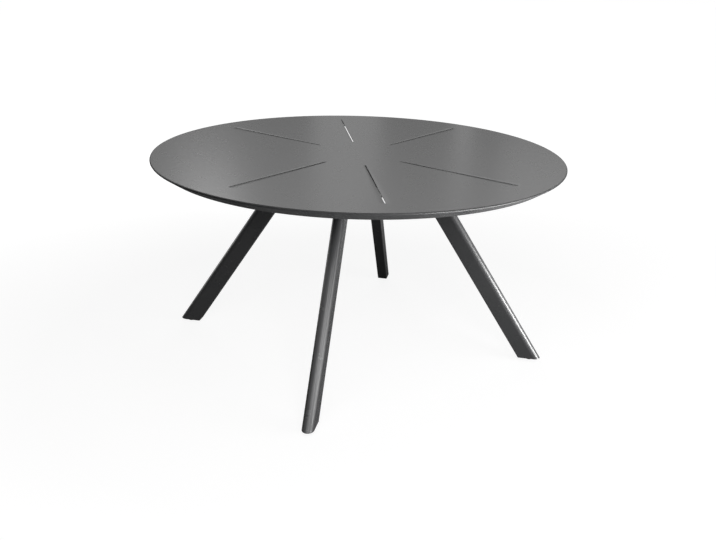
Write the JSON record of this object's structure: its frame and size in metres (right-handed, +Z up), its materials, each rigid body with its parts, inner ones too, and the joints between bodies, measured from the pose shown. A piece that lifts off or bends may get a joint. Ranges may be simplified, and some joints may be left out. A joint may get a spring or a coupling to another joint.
{
  "type": "garden table",
  "caption": "Round metal garden table with a slotted sheet top, an inward-sloping skirt, splayed D-section legs and screw levelling feet.",
  "frame": {"origin": "on the floor, under the centre of the round top", "axes": "+Z up; -Y towards the front drain slot, which points nearly at the viewer; +X to the viewer's right"},
  "size_m": [1.5, 1.5, 0.755],
  "materials": {
    "powder_coat": "satin graphite powder coat with a fine texture",
    "zinc_steel": "zinc-plated",
    "black_plastic": "moulded, matte"
  },
  "bodies": {
    "table": {"table_top": "powder_coat", "support_ring": "powder_coat", "beam_long": "powder_coat", "beam_half_right": "powder_coat", "beam_half_left": "powder_coat", "leg_front": "powder_coat", "leg_plate_front": "powder_coat", "leg_right": "powder_coat", "leg_plate_right": "powder_coat", "leg_back": "powder_coat", "leg_plate_back": "powder_coat", "leg_left": "powder_coat", "leg_plate_left": "powder_coat", "threaded_bushes": "zinc_steel", "leg_washers": "zinc_steel", "leg_bolts": "zinc_steel", "top_studs": "zinc_steel", "stud_washers": "zinc_steel", "stud_nuts": "zinc_steel", "foot_nuts": "zinc_steel", "end_cap_front": "black_plastic", "end_cap_right": "black_plastic", "end_cap_back": "black_plastic", "end_cap_left": "black_plastic"},
    "pad_front": {"leveller_pad_front": "black_plastic"},
    "screw_front": {"leveller_stud_front": "zinc_steel"},
    "pad_right": {"leveller_pad_right": "black_plastic"},
    "screw_right": {"leveller_stud_right": "zinc_steel"},
    "pad_back": {"leveller_pad_back": "black_plastic"},
    "screw_back": {"leveller_stud_back": "zinc_steel"},
    "pad_left": {"leveller_pad_left": "black_plastic"},
    "screw_left": {"leveller_stud_left": "zinc_steel"}
  },
  "joints": [
    {"name": "pad_slide_front", "type": "slide", "parent": "table", "child": "pad_front", "axis": [0, 0, -1], "range_m": [0, 0.01]},
    {"name": "screw_turn_front", "type": "hinge", "parent": "pad_front", "child": "screw_front", "pos_m": [-0.21957, -0.65624, 0], "axis": [0, 0, -1], "range_deg": [0, 2880]},
    {"name": "pad_slide_right", "type": "slide", "parent": "table", "child": "pad_right", "axis": [0, 0, -1], "range_m": [0, 0.01]},
    {"name": "screw_turn_right", "type": "hinge", "parent": "pad_right", "child": "screw_right", "pos_m": [0.65624, -0.21957, 0], "axis": [0, 0, -1], "range_deg": [0, 2880]},
    {"name": "pad_slide_back", "type": "slide", "parent": "table", "child": "pad_back", "axis": [0, 0, -1], "range_m": [0, 0.01]},
    {"name": "screw_turn_back", "type": "hinge", "parent": "pad_back", "child": "screw_back", "pos_m": [0.21957, 0.65624, 0], "axis": [0, 0, -1], "range_deg": [0, 2880]},
    {"name": "pad_slide_left", "type": "slide", "parent": "table", "child": "pad_left", "axis": [0, 0, -1], "range_m": [0, 0.01]},
    {"name": "screw_turn_left", "type": "hinge", "parent": "pad_left", "child": "screw_left", "pos_m": [-0.65624, 0.21957, 0], "axis": [0, 0, -1], "range_deg": [0, 2880]}
  ],
  "couplings": [
    {"joint": "screw_turn_front", "follows": "pad_slide_front", "rad_per_m": 5026.5},
    {"joint": "screw_turn_right", "follows": "pad_slide_right", "rad_per_m": 5026.5},
    {"joint": "screw_turn_back", "follows": "pad_slide_back", "rad_per_m": 5026.5},
    {"joint": "screw_turn_left", "follows": "pad_slide_left", "rad_per_m": 5026.5}
  ]
}
